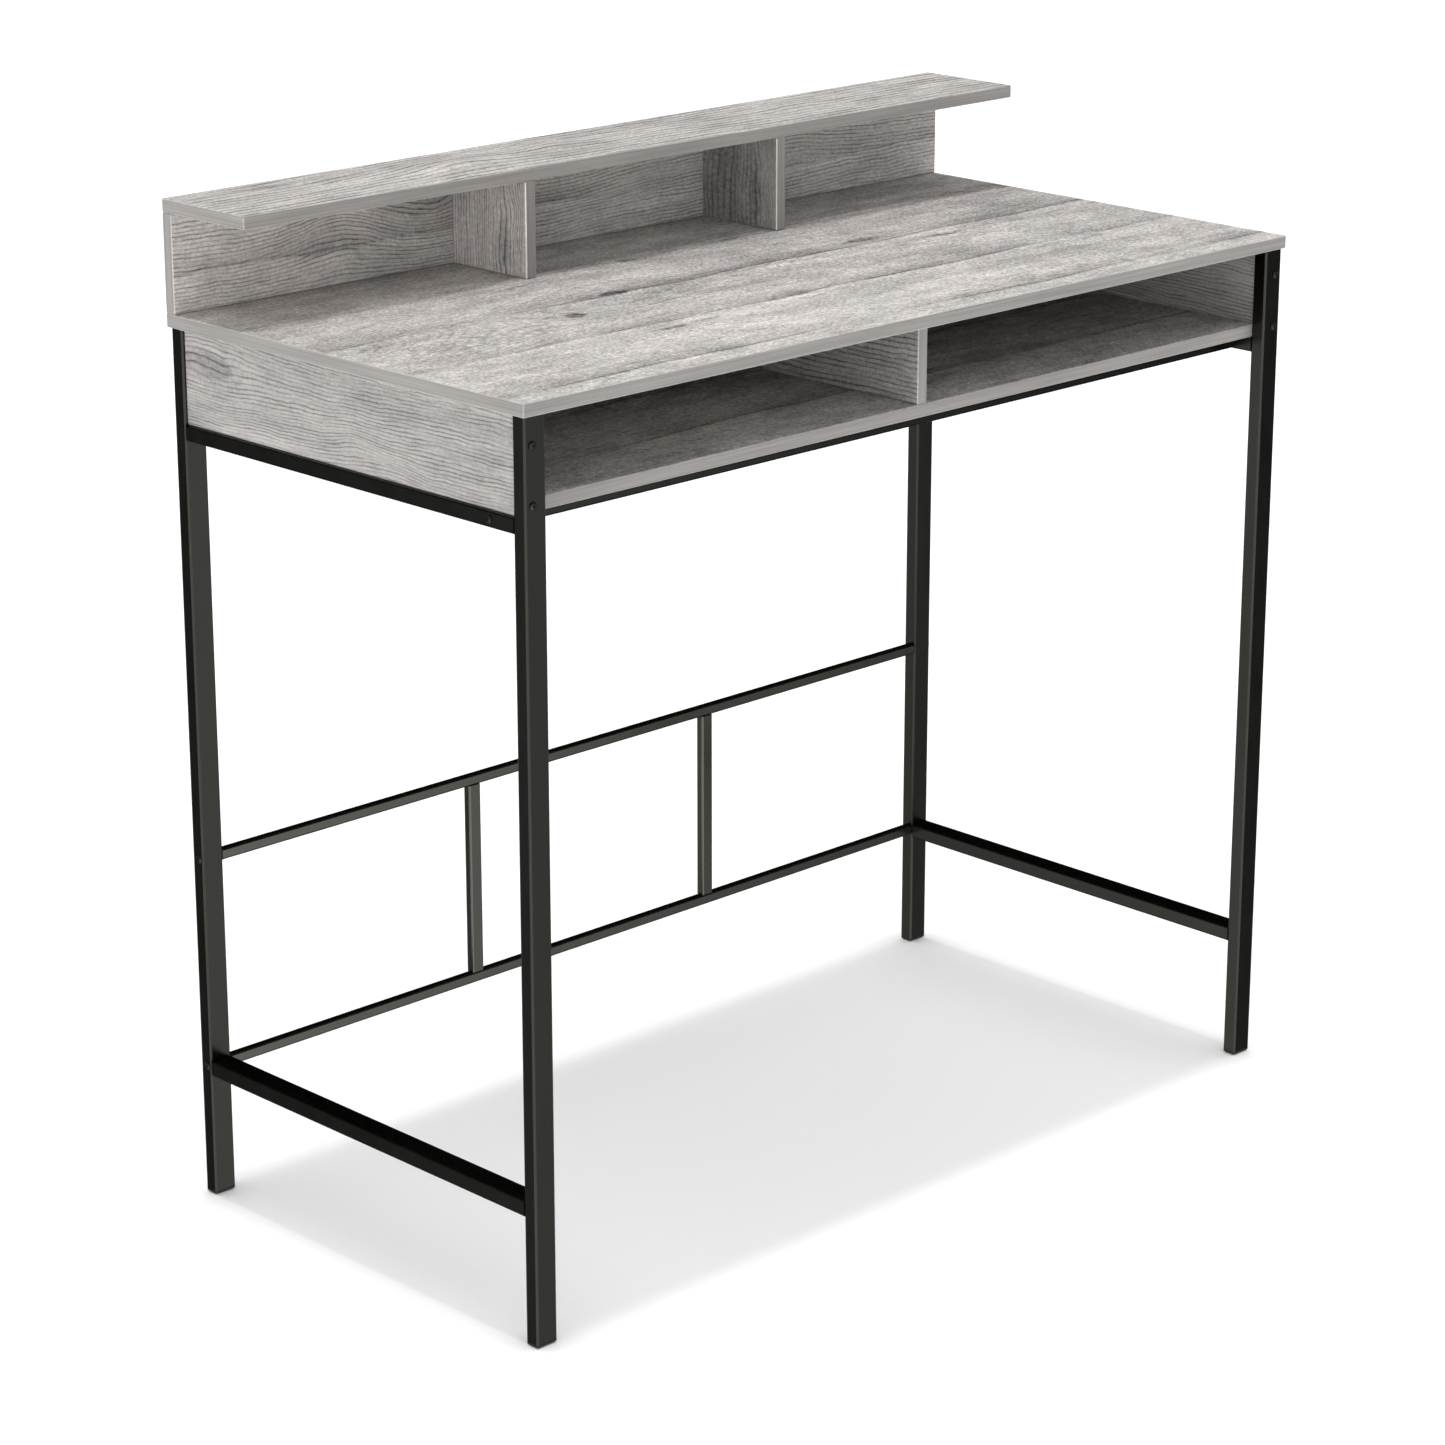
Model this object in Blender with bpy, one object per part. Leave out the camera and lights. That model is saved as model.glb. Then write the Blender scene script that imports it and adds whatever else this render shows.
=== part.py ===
"""Standing-height desk with a hutch along its back edge.

A bolted steel tube frame carries a row of laminated boards: a shelf with two open cubbies
under the desktop, and a hutch with three open cubbies on top of it.
Metres. X is the length, Y runs to the back, Z is up, and the origin is on the floor at the centre.
"""

import math

import bmesh
import bpy
from mathutils import Matrix, Vector

# Overall sizes
LENGTH = 1.200
DEPTH = 0.578
DESK_HEIGHT = 1.0315
HUTCH_HEIGHT = 1.157

# Boards
BOARD = 0.015
BOARD_ROUNDING = 0.0010
SHELF_BOTTOM = 0.911
HUTCH_DEPTH = 0.141
HUTCH_DIVIDER_X = 0.1975
SIDE_PANEL_INSET = 0.003

# Steel tube: the legs and side rails share one section, the others have their own
WALL = 0.0012
LEG_X = 0.028
LEG_Y = 0.018
RAIL_HEIGHT = 0.018
LEG_INSET = 0.0035
LOWER_RAIL_TOP = 0.166
CROSS_RAIL_Y = -0.230
CROSS_RAIL_SIZE = 0.018
BACK_RAIL_Y = 0.0110
BACK_RAIL_Z = 0.0130
BACK_BAR_X = 0.0175
BACK_BAR_AT = 0.192
BACK_RAIL_HEIGHTS = (0.159, 0.409)
BACK_RAIL_SETBACK = 0.0005
END_PLATE = 0.003
TUBE_ROUNDING = 0.0020

# Plug feet
FOOT_FLANGE = 0.004
FOOT_STEM = 0.016
FOOT_ROUNDING = 0.0018

# Button-head screws, pan screws under the desktop, and dowels
SCREW_RADIUS = 0.0025
HEAD_RADIUS = 0.0046
HEAD_HEIGHT = 0.0022
SOCKET_RADIUS = 0.0016
SOCKET_DEPTH = 0.0013
SCREW_BITE = 0.024
PLATE_BITE = 0.012
PANEL_SCREW_HEIGHTS = (0.9243, 0.9865)
DOWEL_RADIUS = 0.0040
DOWEL_UP = 0.0085
DOWEL_DOWN = 0.0140
ROUND_SIDES = 12

GAP = 0.0003

# Positions that follow from the sizes above
HALF_X = LENGTH / 2
HALF_Y = DEPTH / 2
DESK_UNDERSIDE = DESK_HEIGHT - BOARD
SHELF_TOP = SHELF_BOTTOM + BOARD
LEG_OUT_X = HALF_X - LEG_INSET
LEG_IN_X = LEG_OUT_X - LEG_X
LEG_OUT_Y = HALF_Y - LEG_INSET
LEG_IN_Y = LEG_OUT_Y - LEG_Y
PANEL_OUT_X = LEG_OUT_X - SIDE_PANEL_INSET
PANEL_IN_X = PANEL_OUT_X - BOARD
BETWEEN_LEGS_Y = LEG_IN_Y - GAP
HUTCH_FRONT = HALF_Y - HUTCH_DEPTH
HUTCH_BACK_FACE = HALF_Y - BOARD
TOP_SHELF_BOTTOM = HUTCH_HEIGHT - BOARD
BACK_FRAME_FRONT = LEG_IN_Y + BACK_RAIL_SETBACK
BACK_FRAME_Y = BACK_FRAME_FRONT + BACK_RAIL_Y / 2
UPPER_RAIL_Z = SHELF_BOTTOM - RAIL_HEIGHT / 2

SIDES = (("left", -1), ("right", 1))
ENDS = (("front", -1), ("rear", 1))

# Turns that lay a shape's own Z along world X, Y or Z; its own X and Y follow in cyclic order
TURN = {
    "X": Matrix(((0, 0, 1), (1, 0, 0), (0, 1, 0))),
    "Y": Matrix(((0, 1, 0), (0, 0, 1), (1, 0, 0))),
    "Z": Matrix.Identity(3),
}


def clear_scene():
    for obj in list(bpy.data.objects):
        bpy.data.objects.remove(obj, do_unlink=True)


def make_material(name, colour, roughness, metallic):
    material = bpy.data.materials.new(name)
    material.use_nodes = True
    shader = material.node_tree.nodes["Principled BSDF"]
    shader.inputs["Base Color"].default_value = (*colour, 1.0)
    shader.inputs["Roughness"].default_value = roughness
    shader.inputs["Metallic"].default_value = metallic
    return material


def add_object(name, bm, material, parent, location=(0, 0, 0), turn=None, cavity=()):
    """Put a finished bmesh in the scene as one named object. A cavity's faces point into it."""
    bmesh.ops.recalc_face_normals(bm, faces=bm.faces)
    bmesh.ops.reverse_faces(bm, faces=list(cavity))
    mesh = bpy.data.meshes.new(name)
    bm.to_mesh(mesh)
    bm.free()
    mesh.shade_smooth()
    mesh.set_sharp_from_angle(angle=math.radians(35))
    mesh.materials.append(material)
    obj = bpy.data.objects.new(name, mesh)
    bpy.context.collection.objects.link(obj)
    obj.parent = parent
    obj.location = location
    if turn is not None:
        obj.rotation_euler = turn.to_euler()
    return obj


def loop_of(bm, points, height):
    return [bm.verts.new((x, y, height)) for x, y in points]


def bridge(bm, lower, upper):
    """Join two loops of equal length with quads."""
    count = len(lower)
    for i in range(count):
        j = (i + 1) % count
        bm.faces.new((lower[i], lower[j], upper[j], upper[i]))


def rounded_outline(size_x, size_y, radius, steps=2):
    """Corner points of a rounded rectangle centred on the origin, anticlockwise."""
    points = []
    for corner, (sx, sy) in enumerate(((1, 1), (-1, 1), (-1, -1), (1, -1))):
        centre_x = sx * (size_x / 2 - radius)
        centre_y = sy * (size_y / 2 - radius)
        for step in range(steps + 1):
            angle = math.pi / 2 * (corner + step / steps)
            points.append((centre_x + radius * math.cos(angle), centre_y + radius * math.sin(angle)))
    return points


def circle(radius, sides=ROUND_SIDES):
    steps = [2 * math.pi * i / sides for i in range(sides)]
    return [(radius * math.cos(a), radius * math.sin(a)) for a in steps]


def hexagon(radius, sides=ROUND_SIDES):
    """A hexagon with an extra point in the middle of each side."""
    flat = math.cos(math.pi / 6)
    points = circle(radius, sides)
    return [(x, y) if i % 2 == 0 else (x * flat, y * flat) for i, (x, y) in enumerate(points)]


def stack(bm, levels):
    """Close a solid from (outline, height) levels, capped at the first and the last."""
    loops = [loop_of(bm, outline, height) for outline, height in levels]
    for lower, upper in zip(loops, loops[1:]):
        bridge(bm, lower, upper)
    bm.faces.new(loops[0])
    bm.faces.new(loops[-1])


def tube(name, along, centre, length, size, plated=False):
    """A hollow rectangular tube. With plated ends it is closed by a plate at each end."""
    bm = bmesh.new()
    half = length / 2
    outer = rounded_outline(*size, TUBE_ROUNDING)
    inner = rounded_outline(size[0] - 2 * WALL, size[1] - 2 * WALL, TUBE_ROUNDING - WALL)
    bore = half - END_PLATE if plated else half
    if plated:
        stack(bm, [(outer, -half), (outer, half)])
        skin = set(bm.faces)
        stack(bm, [(inner, -bore), (inner, bore)])
        cavity = [face for face in bm.faces if face not in skin]
    else:
        outside = [loop_of(bm, outer, -half), loop_of(bm, outer, half)]
        inside = [loop_of(bm, inner, -bore), loop_of(bm, inner, bore)]
        bridge(bm, *outside)
        bridge(bm, *inside)
        for end in (0, 1):
            bridge(bm, outside[end], inside[end])
        cavity = ()
    return add_object(name, bm, BLACK_PAINT, FRAME, centre, TURN[along], cavity)


def board(name, low, high, parent, rounding=BOARD_ROUNDING):
    """A laminated board between two opposite corners, its edges slightly rounded."""
    low, high = Vector(low), Vector(high)
    bm = bmesh.new()
    bmesh.ops.create_cube(bm, size=1.0)
    bmesh.ops.scale(bm, vec=high - low, verts=bm.verts)
    bmesh.ops.bevel(bm, geom=bm.edges[:], offset=rounding, segments=1, affect="EDGES")
    return add_object(name, bm, GREY_OAK, parent, (low + high) / 2)


def drill(obj, holes):
    """Cut round holes, each given as (radius, start, end)."""
    bm = bmesh.new()
    for radius, start, end in holes:
        start, end = Vector(start), Vector(end)
        turn = Vector((0, 0, 1)).rotation_difference(end - start).to_matrix().to_4x4()
        before = set(bm.verts)
        stack(bm, [(circle(radius), 0), (circle(radius), (end - start).length)])
        new = [v for v in bm.verts if v not in before]
        bmesh.ops.transform(bm, matrix=Matrix.Translation(start) @ turn, verts=new)
    cutter = add_object(obj.name + "_holes", bm, BLACK_PAINT, None)
    cutter.hide_render = True
    cutter.display_type = "WIRE"
    cut = obj.modifiers.new("Holes", "BOOLEAN")
    cut.operation = "DIFFERENCE"
    cut.solver = "EXACT"
    cut.object = cutter


def screw(name, seat, outward, reach, parent):
    """A screw whose head sits on the seat and whose shank runs inwards for reach."""
    bm = bmesh.new()
    levels = [
        (circle(SCREW_RADIUS * 0.6), -reach),
        (circle(SCREW_RADIUS), -reach + SCREW_RADIUS),
        (circle(SCREW_RADIUS), 0),
        (circle(HEAD_RADIUS), 0),
        (circle(HEAD_RADIUS), HEAD_HEIGHT * 0.35),
        (circle(HEAD_RADIUS * 0.62), HEAD_HEIGHT),
        (hexagon(SOCKET_RADIUS), HEAD_HEIGHT),
        (hexagon(SOCKET_RADIUS), HEAD_HEIGHT - SOCKET_DEPTH),
    ]
    stack(bm, levels)
    outward = Vector(outward)
    turn = Vector((0, 0, 1)).rotation_difference(outward).to_matrix()
    return add_object(name, bm, BLACK_SCREW, parent, Vector(seat) + outward * GAP, turn)


clear_scene()

GREY_OAK = make_material("grey_oak_board", (0.50, 0.47, 0.45), 0.55, 0.0)
BLACK_PAINT = make_material("black_frame_paint", (0.022, 0.022, 0.020), 0.45, 0.0)
BLACK_SCREW = make_material("black_screw_steel", (0.030, 0.030, 0.030), 0.35, 0.9)
BLACK_PLASTIC = make_material("black_foot_plastic", (0.018, 0.018, 0.018), 0.60, 0.0)
BEECH = make_material("beech_dowel", (0.62, 0.45, 0.28), 0.70, 0.0)

FRAME = bpy.data.objects.new("steel_frame", None)
DESK = bpy.data.objects.new("desk_boards", None)
HUTCH = bpy.data.objects.new("hutch", None)
for group in (FRAME, DESK, HUTCH):
    bpy.context.collection.objects.link(group)

# Steel frame: legs on plug feet, two side frames, the front cross rail and the back frame
legs = {}
side_rails = {}
for side, sx in SIDES:
    leg_x = sx * (LEG_IN_X + LEG_X / 2)
    for end, sy in ENDS:
        leg_y = sy * (LEG_IN_Y + LEG_Y / 2)
        foot_top = FOOT_FLANGE + GAP
        leg_top = DESK_UNDERSIDE - GAP
        centre = (leg_x, leg_y, (foot_top + leg_top) / 2)
        legs[side, end] = tube(f"leg_{end}_{side}", "Z", centre, leg_top - foot_top, (LEG_X, LEG_Y))

        stem = (LEG_X - 2 * (WALL + GAP), LEG_Y - 2 * (WALL + GAP))
        foot = bmesh.new()
        cap = rounded_outline(LEG_X, LEG_Y, TUBE_ROUNDING)
        sole = rounded_outline(LEG_X - 2 * FOOT_ROUNDING, LEG_Y - 2 * FOOT_ROUNDING, TUBE_ROUNDING)
        plug = rounded_outline(*stem, TUBE_ROUNDING - WALL)
        levels = [(sole, 0), (cap, FOOT_ROUNDING), (cap, FOOT_FLANGE), (plug, FOOT_FLANGE),
                  (plug, FOOT_FLANGE + FOOT_STEM)]
        stack(foot, levels)
        add_object(f"foot_{end}_{side}", foot, BLACK_PLASTIC, FRAME, (leg_x, leg_y, 0))

    for level, top in (("upper", SHELF_BOTTOM), ("lower", LOWER_RAIL_TOP)):
        centre = (leg_x, 0, top - RAIL_HEIGHT / 2)
        side_rails[side, level] = tube(
            f"side_rail_{level}_{side}", "Y", centre, 2 * BETWEEN_LEGS_Y, (RAIL_HEIGHT, LEG_X))

span = 2 * (LEG_IN_X - GAP)
bolted_rails = {"cross": tube("cross_rail", "X", (0, CROSS_RAIL_Y, UPPER_RAIL_Z), span,
                              (CROSS_RAIL_SIZE, RAIL_HEIGHT), plated=True)}
for level, height in zip(("lower", "upper"), BACK_RAIL_HEIGHTS):
    bolted_rails[level] = tube(f"back_rail_{level}", "X", (0, BACK_FRAME_Y, height), span,
                             (BACK_RAIL_Y, BACK_RAIL_Z), plated=True)

bar_length = BACK_RAIL_HEIGHTS[1] - BACK_RAIL_HEIGHTS[0] - BACK_RAIL_Z - 2 * GAP
for side, sx in SIDES:
    centre = (sx * BACK_BAR_AT, BACK_FRAME_Y, sum(BACK_RAIL_HEIGHTS) / 2)
    tube(f"back_bar_{side}", "Z", centre, bar_length, (BACK_BAR_X, BACK_RAIL_Y))

# Boards under the desktop: side panels on the side rails, shelf, divider and back panel
side_panels = {}
for side, sx in SIDES:
    x_low, x_high = sorted((sx * PANEL_IN_X, sx * PANEL_OUT_X))
    side_panels[side] = board(
        f"side_panel_{side}",
        (x_low, -BETWEEN_LEGS_Y, SHELF_BOTTOM + GAP),
        (x_high, BETWEEN_LEGS_Y, DESK_UNDERSIDE - GAP), DESK)

shelf_x = PANEL_IN_X - GAP
back_panel_front = BETWEEN_LEGS_Y - BOARD
board("lower_shelf", (-shelf_x, -BETWEEN_LEGS_Y, SHELF_BOTTOM + GAP),
      (shelf_x, BETWEEN_LEGS_Y, SHELF_TOP), DESK)
board("back_panel", (-shelf_x, back_panel_front, SHELF_TOP + GAP),
      (shelf_x, BETWEEN_LEGS_Y, DESK_UNDERSIDE - GAP), DESK)
board("centre_divider", (-BOARD / 2, -BETWEEN_LEGS_Y, SHELF_TOP + GAP),
      (BOARD / 2, back_panel_front - GAP, DESK_UNDERSIDE - GAP), DESK)
desktop = board("desktop", (-HALF_X, -HALF_Y, DESK_UNDERSIDE), (HALF_X, HALF_Y, DESK_HEIGHT), DESK)

# Hutch: a full-width back panel and two dividers standing on the desktop, under a top shelf
hutch_low, hutch_high = DESK_HEIGHT + GAP, TOP_SHELF_BOTTOM - GAP
hutch_back = board("hutch_back_panel", (-HALF_X, HUTCH_BACK_FACE, hutch_low),
                   (HALF_X, HALF_Y, hutch_high), HUTCH)
hutch_shelf = board("hutch_top_shelf", (-HALF_X, HUTCH_FRONT, TOP_SHELF_BOTTOM),
                    (HALF_X, HALF_Y, HUTCH_HEIGHT), HUTCH)
hutch_dividers = {}
for side, sx in SIDES:
    x = sx * HUTCH_DIVIDER_X
    hutch_dividers[side] = board(
        f"hutch_divider_{side}",
        (x - BOARD / 2, HUTCH_FRONT, hutch_low),
        (x + BOARD / 2, HUTCH_BACK_FACE - GAP, hutch_high), HUTCH)

# Screws through the frame, with the holes that they pass through
CLEARANCE = SCREW_RADIUS + GAP
PAST = 0.002
rail_holes = {name: [] for name in bolted_rails}
for side, sx in SIDES:
    panel_x = sx * (PANEL_IN_X + BOARD / 2)
    panel_holes = []
    for end, sy in ENDS:
        leg_holes = []
        for level, height in zip(("lower", "upper"), PANEL_SCREW_HEIGHTS):
            reach = LEG_Y + SCREW_BITE
            screw(f"panel_screw_{end}_{side}_{level}", (panel_x, sy * LEG_OUT_Y, height),
                  (0, sy, 0), reach, FRAME)
            inner_end = (panel_x, sy * (LEG_OUT_Y - reach - PAST), height)
            leg_holes.append((CLEARANCE, (panel_x, sy * (LEG_OUT_Y + PAST), height),
                              (panel_x, sy * (LEG_IN_Y - PAST), height)))
            panel_holes.append((CLEARANCE, (panel_x, sy * (BETWEEN_LEGS_Y + PAST), height), inner_end))
        if end == "rear":
            for level, height in zip(("lower", "upper"), BACK_RAIL_HEIGHTS):
                screw(f"back_rail_screw_{side}_{level}", (sx * LEG_OUT_X, BACK_FRAME_Y, height),
                      (sx, 0, 0), LEG_X + PLATE_BITE, FRAME)
                leg_holes.append((CLEARANCE, (sx * (LEG_OUT_X + PAST), BACK_FRAME_Y, height),
                                  (sx * (LEG_IN_X - PAST), BACK_FRAME_Y, height)))
                rail_holes[level].append((CLEARANCE, (sx * (LEG_IN_X + PAST), BACK_FRAME_Y, height),
                                          (sx * (LEG_IN_X - 2 * END_PLATE), BACK_FRAME_Y, height)))
        drill(legs[side, end], leg_holes)

    screw(f"cross_rail_screw_{side}", (sx * LEG_OUT_X, CROSS_RAIL_Y, UPPER_RAIL_Z),
          (sx, 0, 0), LEG_X + PLATE_BITE, FRAME)
    rail_holes["cross"].append((CLEARANCE, (sx * (LEG_IN_X + PAST), CROSS_RAIL_Y, UPPER_RAIL_Z),
                                (sx * (LEG_IN_X - 2 * END_PLATE), CROSS_RAIL_Y, UPPER_RAIL_Z)))
    drill(side_rails[side, "upper"],
          [(CLEARANCE, (sx * (LEG_OUT_X + PAST), CROSS_RAIL_Y, UPPER_RAIL_Z),
            (sx * (LEG_IN_X - PAST), CROSS_RAIL_Y, UPPER_RAIL_Z))])

    # Two dowels locate the desktop on each side panel
    for end, sy in ENDS:
        at = Vector((panel_x, sy * DEPTH / 3, DESK_UNDERSIDE))
        pin = bmesh.new()
        stack(pin, [(circle(DOWEL_RADIUS), -DOWEL_DOWN), (circle(DOWEL_RADIUS), DOWEL_UP)])
        add_object(f"desktop_dowel_{end}_{side}", pin, BEECH, DESK, at)
        panel_holes.append((DOWEL_RADIUS + GAP, at + Vector((0, 0, PAST)),
                            at - Vector((0, 0, DOWEL_DOWN + GAP))))
    drill(side_panels[side], panel_holes)

for name, rail in bolted_rails.items():
    drill(rail, rail_holes[name])

# The hutch: screwed up through the desktop, and its top shelf set on dowels
desktop_holes = []
for side, sx in SIDES:
    for end, sy in ENDS:
        at = Vector((sx * (PANEL_IN_X + BOARD / 2), sy * DEPTH / 3, DESK_UNDERSIDE))
        desktop_holes.append((DOWEL_RADIUS + GAP, at - Vector((0, 0, PAST)),
                              at + Vector((0, 0, DOWEL_UP + GAP))))

hutch_screws = [("left", hutch_dividers["left"], -HUTCH_DIVIDER_X, HALF_Y - HUTCH_DEPTH / 2),
                ("right", hutch_dividers["right"], HUTCH_DIVIDER_X, HALF_Y - HUTCH_DEPTH / 2)]
back_screw_y = HALF_Y - BOARD / 2
for name, x in (("back_left", -0.75 * HALF_X), ("back_middle", 0), ("back_right", 0.75 * HALF_X)):
    hutch_screws.append((name, hutch_back, x, back_screw_y))

bite_holes = {}
for name, target, x, y in hutch_screws:
    screw(f"hutch_screw_{name}", (x, y, DESK_UNDERSIDE), (0, 0, -1), BOARD + SCREW_BITE, HUTCH)
    desktop_holes.append((CLEARANCE, (x, y, DESK_UNDERSIDE - PAST), (x, y, DESK_HEIGHT + PAST)))
    tip = DESK_UNDERSIDE + BOARD + SCREW_BITE + GAP
    bite_holes.setdefault(target.name, []).append((CLEARANCE, (x, y, DESK_HEIGHT - PAST), (x, y, tip)))

shelf_holes = []
for side, sx in SIDES:
    for end, y in (("front", HUTCH_FRONT + 0.030), ("rear", HUTCH_BACK_FACE - 0.030)):
        at = Vector((sx * HUTCH_DIVIDER_X, y, TOP_SHELF_BOTTOM))
        pin = bmesh.new()
        stack(pin, [(circle(DOWEL_RADIUS), -DOWEL_DOWN), (circle(DOWEL_RADIUS), DOWEL_UP)])
        add_object(f"hutch_dowel_{end}_{side}", pin, BEECH, HUTCH, at)
        shelf_holes.append((DOWEL_RADIUS + GAP, at - Vector((0, 0, PAST)),
                            at + Vector((0, 0, DOWEL_UP + GAP))))
        bite_holes[f"hutch_divider_{side}"].append(
            (DOWEL_RADIUS + GAP, at + Vector((0, 0, PAST)), at - Vector((0, 0, DOWEL_DOWN + GAP))))

drill(desktop, desktop_holes)
drill(hutch_shelf, shelf_holes)
for target in (hutch_back, *hutch_dividers.values()):
    drill(target, bite_holes[target.name])
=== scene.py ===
import math

import bpy
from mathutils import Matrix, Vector


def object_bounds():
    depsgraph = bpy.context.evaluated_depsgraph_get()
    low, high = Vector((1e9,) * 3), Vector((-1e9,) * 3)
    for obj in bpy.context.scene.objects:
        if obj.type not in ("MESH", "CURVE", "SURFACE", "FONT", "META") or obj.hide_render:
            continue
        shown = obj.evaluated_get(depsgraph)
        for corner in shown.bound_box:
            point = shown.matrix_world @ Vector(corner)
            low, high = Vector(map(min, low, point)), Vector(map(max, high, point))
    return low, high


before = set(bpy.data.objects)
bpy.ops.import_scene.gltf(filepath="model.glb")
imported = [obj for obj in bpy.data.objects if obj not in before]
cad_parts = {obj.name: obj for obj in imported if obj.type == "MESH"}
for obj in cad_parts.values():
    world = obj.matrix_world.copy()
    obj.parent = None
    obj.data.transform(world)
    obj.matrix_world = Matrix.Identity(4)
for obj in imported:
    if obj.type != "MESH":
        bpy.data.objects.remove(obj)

cad_low, cad_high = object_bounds()


# ---------------------------------------------------------------------------
# The frame: rectangular steel legs welded to upper and lower side rails, joined
# by a bolted rail under the shelf and a bolted ladder at the back. It is mild
# steel tube, welded and ground, then powder coated satin black.
# ---------------------------------------------------------------------------

SIDES = ("left", "right")
ENDS = ("front", "rear")
LEVELS = ("lower", "upper")
FRAME_TUBES = [
    "cross_rail",
    *(f"leg_{end}_{side}" for end in ENDS for side in SIDES),
    *(f"side_rail_{level}_{side}" for level in LEVELS for side in SIDES),
]
LADDER_TUBES = [
    *(f"back_rail_{level}" for level in LEVELS),
    *(f"back_bar_{side}" for side in SIDES),
]
POWDER_BLACK = (0.0007, 0.0007, 0.0006, 1.0)
POWDER_RUBBED = (0.006, 0.006, 0.0053, 1.0)
POWDER_SHEEN_TINT = (1.0, 1.0, 0.88, 1.0)
PEEL_CELLS_PER_METRE = 620.0
PEEL_DEPTH = 0.00003
FRAME_ROUGHNESS, FRAME_SPECULAR, FRAME_IOR = 0.24, 0.5, 1.5
# The ladder's coat is glossier: a painted sheen for the brighter light it gets.
LADDER_ROUGHNESS, LADDER_SPECULAR, LADDER_IOR = 0.22, 0.95, 1.6


class Field:
    """A number that varies over a surface: a node's output that can be used in sums."""

    def __init__(self, tree, socket):
        self.tree, self.socket = tree, socket

    def done(self, operation, *others):
        maths = self.tree.nodes.new("ShaderNodeMath")
        maths.operation = operation
        for place, value in enumerate((self, *others)):
            feed(self.tree, maths.inputs[place], value)
        return Field(self.tree, maths.outputs[0])

    def __add__(self, other):
        return self.done("ADD", other)

    def __sub__(self, other):
        return self.done("SUBTRACT", other)

    def __mul__(self, other):
        return self.done("MULTIPLY", other)

    def __truediv__(self, other):
        return self.done("DIVIDE", other)

    def __pow__(self, other):
        return self.done("POWER", other)

    __radd__, __rmul__ = __add__, __mul__

    def __rsub__(self, other):
        return (self * -1.0) + other

    def size(self):
        return self.done("ABSOLUTE")

    def step(self, low, high):
        """0 below low, 1 above high, and an even S between them."""
        ranged = self.tree.nodes.new("ShaderNodeMapRange")
        ranged.interpolation_type = "SMOOTHSTEP"
        feed(self.tree, ranged.inputs["Value"], self)
        feed(self.tree, ranged.inputs["From Min"], low)
        feed(self.tree, ranged.inputs["From Max"], high)
        return Field(self.tree, ranged.outputs["Result"])


def feed(tree, socket, value):
    """Links or sets one input."""
    if isinstance(value, Field):
        value = value.socket
    if isinstance(value, bpy.types.NodeSocket):
        tree.links.new(value, socket)
    else:
        socket.default_value = value


def add_node(tree, kind, inputs=None, **settings):
    made = tree.nodes.new("ShaderNode" + kind)
    for name, value in settings.items():
        setattr(made, name, value)
    for name, value in (inputs or {}).items():
        feed(tree, made.inputs[name], value)
    return made


def new_group(name, inputs, outputs):
    """A node group with named sockets: returns it, what comes in, and its way out."""
    group = bpy.data.node_groups.new(name, "ShaderNodeTree")
    for label, value in inputs.items():
        kind = "Float" if isinstance(value, float) else ("Vector", "Color")[len(value) - 3]
        socket = group.interface.new_socket(
            label, in_out="INPUT", socket_type="NodeSocket" + kind
        )
        socket.default_value = value
    for label, kind in outputs.items():
        group.interface.new_socket(
            label, in_out="OUTPUT", socket_type="NodeSocket" + kind
        )
    way_in = group.nodes.new("NodeGroupInput")
    given = {
        label: Field(group, way_in.outputs[label])
        if isinstance(value, float)
        else way_in.outputs[label]
        for label, value in inputs.items()
    }
    return group, given, group.nodes.new("NodeGroupOutput").inputs


def use_group(tree, group, inputs):
    """Places a node group in a material, with its own values, and gives its outputs."""
    placed = tree.nodes.new("ShaderNodeGroup")
    placed.node_tree = group
    for name, value in inputs.items():
        feed(tree, placed.inputs[name], value)
    return placed.outputs


def parts_of(tree, vector):
    split = add_node(tree, "SeparateXYZ", {"Vector": vector})
    return [Field(tree, axis) for axis in split.outputs]


def joined(tree, x, y, z):
    return add_node(tree, "CombineXYZ", {"X": x, "Y": y, "Z": z}).outputs[0]


def noise(tree, place, per_metre, detail=2.0, roughness=0.5, seed=0.0):
    """A soft random pattern round 0.5, with its own cells per metre on each axis."""
    stretched = add_node(tree, "VectorMath", operation="MULTIPLY_ADD")
    feed(tree, stretched.inputs[0], place)
    stretched.inputs[1].default_value = per_metre
    stretched.inputs[2].default_value = (seed, seed * 1.7, seed * 0.6)
    made = add_node(
        tree,
        "TexNoise",
        {
            "Vector": stretched.outputs[0],
            "Scale": 1.0,
            "Detail": detail,
            "Roughness": roughness,
        },
    )
    return Field(tree, made.outputs[0])


def mixed(tree, share, first, second):
    """A colour between two others."""
    mix = add_node(tree, "Mix", data_type="RGBA")
    for place, value in ((0, share), (6, first), (7, second)):
        feed(tree, mix.inputs[place], value)
    return mix.outputs[2]


# How far the finish has rubbed along a part's rounded edges, and which of them stand upright,
# where boards get a painted highlight.
edge_rub, given, out = new_group(
    "edge rub",
    {"Place": (0.0, 0.0, 0.0), "Patches Per Metre": 30.0, "Least": 0.3},
    {"Rub": "Float", "Upright Highlight": "Float"},
)
way_round = add_node(edge_rub, "NewGeometry").outputs["True Normal"]
squareness = [axis.size() for axis in parts_of(edge_rub, way_round)]
flatness = squareness[0].done("MAXIMUM", squareness[1]).done("MAXIMUM", squareness[2])
on_edge = 1.0 - flatness.step(0.90, 0.995)
patch_place = add_node(edge_rub, "VectorMath", operation="SCALE")
feed(edge_rub, patch_place.inputs[0], given["Place"])
feed(edge_rub, patch_place.inputs["Scale"], given["Patches Per Metre"])
patches = noise(edge_rub, patch_place.outputs[0], (1.0, 1.0, 1.0), detail=4.0)
rubbed = on_edge * (given["Least"] + (1.0 - given["Least"]) * patches.step(0.45, 0.7))
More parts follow.
